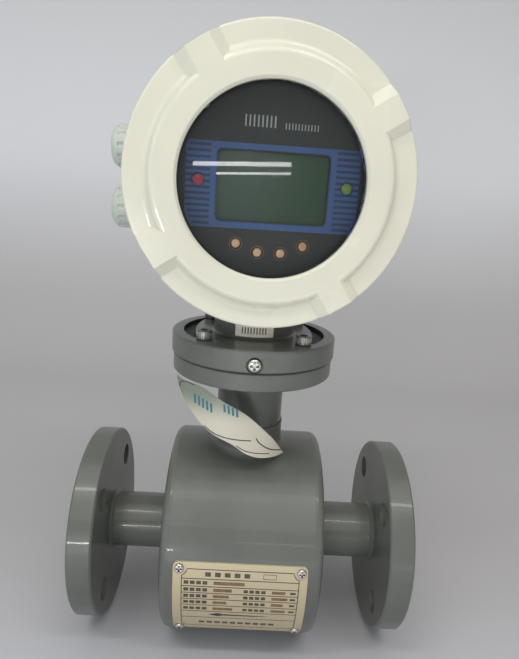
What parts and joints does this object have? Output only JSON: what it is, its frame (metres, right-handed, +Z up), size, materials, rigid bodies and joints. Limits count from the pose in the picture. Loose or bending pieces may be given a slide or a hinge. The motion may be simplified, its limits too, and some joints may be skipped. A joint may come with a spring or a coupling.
{
  "type": "electromagnetic flow meter",
  "caption": "Flanged magnetic flow meter: lined pipe through a coil drum, swivelling round converter head with window, display, keys, screw-on covers and side cable glands.",
  "frame": {"origin": "centre of the flow bore, midway between the flange faces", "axes": "+X along the pipe in the flow direction, -Y towards the reader of the dial, +Z up to the converter head"},
  "size_m": [0.2, 0.1246, 0.3414],
  "materials": {
    "body_paint": "gloss",
    "cover_paint": "gloss",
    "stainless": "satin",
    "nickel": "satin",
    "soft_iron": "satin",
    "copper": "satin",
    "fluoropolymer": "matte",
    "black_rubber": "matte",
    "nylon": "matte",
    "gland_plastic": "satin",
    "black_plastic": "satin",
    "circuit_board": "satin",
    "display_face": "gloss",
    "blue_film": "satin",
    "red_lens": "gloss",
    "green_lens": "gloss",
    "key_metal": "satin",
    "window": "gloss",
    "plate_metal": "satin",
    "label_paper": "matte",
    "tag_film": "satin"
  },
  "bodies": {
    "sensor": {"inlet_flange": "body_paint", "outlet_flange": "body_paint", "measuring_tube": "body_paint", "liner": "fluoropolymer", "liner_lips": "fluoropolymer", "electrodes": "stainless", "electrode_sleeves": "nylon", "electrode_nuts": "stainless", "pole_shoes": "soft_iron", "coil_formers": "nylon", "coil_windings": "copper", "flux_return_ring": "soft_iron", "yoke_screws": "stainless", "drum_shell": "body_paint", "drum_ends": "body_paint", "nameplate": "plate_metal", "nameplate_screws": "nickel", "neck_tube": "body_paint", "neck_collar": "body_paint", "neck_flange": "body_paint", "swivel_seal": "black_rubber", "quality_tag": "tag_film"},
    "head": {"swivel_ring": "body_paint", "swivel_screws": "nickel", "foot_gasket": "black_rubber", "stem": "body_paint", "foot_screws": "stainless", "coil_label": "label_paper", "housing": "body_paint", "main_board": "circuit_board", "display_board": "circuit_board", "board_pillars": "nickel", "panel_pillars": "nickel", "board_components": "black_plastic", "key_switches": "black_plastic", "lcd_module": "display_face", "display_panel": "black_plastic", "display_overlay": "blue_film", "panel_screws": "nickel", "red_lamp": "red_lens", "green_lamp": "green_lens", "terminal_block": "black_plastic", "terminal_screws": "nickel", "earth_screw": "stainless", "gland_washers": "black_rubber", "gland_bodies": "gland_plastic", "gland_bushes": "black_rubber"},
    "front_seal_ring": {"front_seal": "black_rubber"},
    "front_cover_set": {"front_cover": "cover_paint", "window_glass": "window", "window_gasket": "black_rubber", "glass_retainer": "nickel"},
    "rear_seal_ring": {"rear_seal": "black_rubber"},
    "rear_cover_set": {"rear_cover": "cover_paint"},
    "upper_gland_nut": {"gland_nut_upper": "gland_plastic"},
    "lower_gland_nut": {"gland_nut_lower": "gland_plastic"},
    "first_key": {"key_1": "key_metal"},
    "second_key": {"key_2": "key_metal"},
    "third_key": {"key_3": "key_metal"},
    "fourth_key": {"key_4": "key_metal"}
  },
  "joints": [
    {"name": "head_swivel", "type": "hinge", "parent": "sensor", "child": "head", "pos_m": [0, 0, 0.1205], "axis": [0, 0, 1], "range_deg": [-170, 170]},
    {"name": "front_cover_travel", "type": "slide", "parent": "head", "child": "front_seal_ring", "axis": [0.0698, -0.9976, 0], "range_m": [0, 0.0121]},
    {"name": "front_cover_turn", "type": "hinge", "parent": "front_seal_ring", "child": "front_cover_set", "pos_m": [0.00314, -0.04489, 0.2115], "axis": [0.0698, -0.9976, 0], "range_deg": [0, 2160]},
    {"name": "rear_cover_travel", "type": "slide", "parent": "head", "child": "rear_seal_ring", "axis": [-0.0698, 0.9976, 0], "range_m": [0, 0.0121]},
    {"name": "rear_cover_turn", "type": "hinge", "parent": "rear_seal_ring", "child": "rear_cover_set", "pos_m": [-0.00279, 0.0399, 0.2115], "axis": [-0.0698, 0.9976, 0], "range_deg": [0, 2160]},
    {"name": "upper_gland_turn", "type": "hinge", "parent": "head", "child": "upper_gland_nut", "pos_m": [-0.07651, 0.00467, 0.2275], "axis": [-0.9976, -0.0698, 0], "range_deg": [-180, 180]},
    {"name": "lower_gland_turn", "type": "hinge", "parent": "head", "child": "lower_gland_nut", "pos_m": [-0.07651, 0.00467, 0.1955], "axis": [-0.9976, -0.0698, 0], "range_deg": [-180, 180]},
    {"name": "first_key_press", "type": "slide", "parent": "head", "child": "first_key", "axis": [-0.0698, 0.9976, 0], "range_m": [0, 0.0006], "stiffness_N_per_m": 1500},
    {"name": "second_key_press", "type": "slide", "parent": "head", "child": "second_key", "axis": [-0.0698, 0.9976, 0], "range_m": [0, 0.0006], "stiffness_N_per_m": 1500},
    {"name": "third_key_press", "type": "slide", "parent": "head", "child": "third_key", "axis": [-0.0698, 0.9976, 0], "range_m": [0, 0.0006], "stiffness_N_per_m": 1500},
    {"name": "fourth_key_press", "type": "slide", "parent": "head", "child": "fourth_key", "axis": [-0.0698, 0.9976, 0], "range_m": [0, 0.0006], "stiffness_N_per_m": 1500}
  ],
  "couplings": [
    {"joint": "front_cover_travel", "follows": "front_cover_turn", "m_per_rad": 0.00031831},
    {"joint": "rear_cover_travel", "follows": "rear_cover_turn", "m_per_rad": 0.00031831}
  ]
}
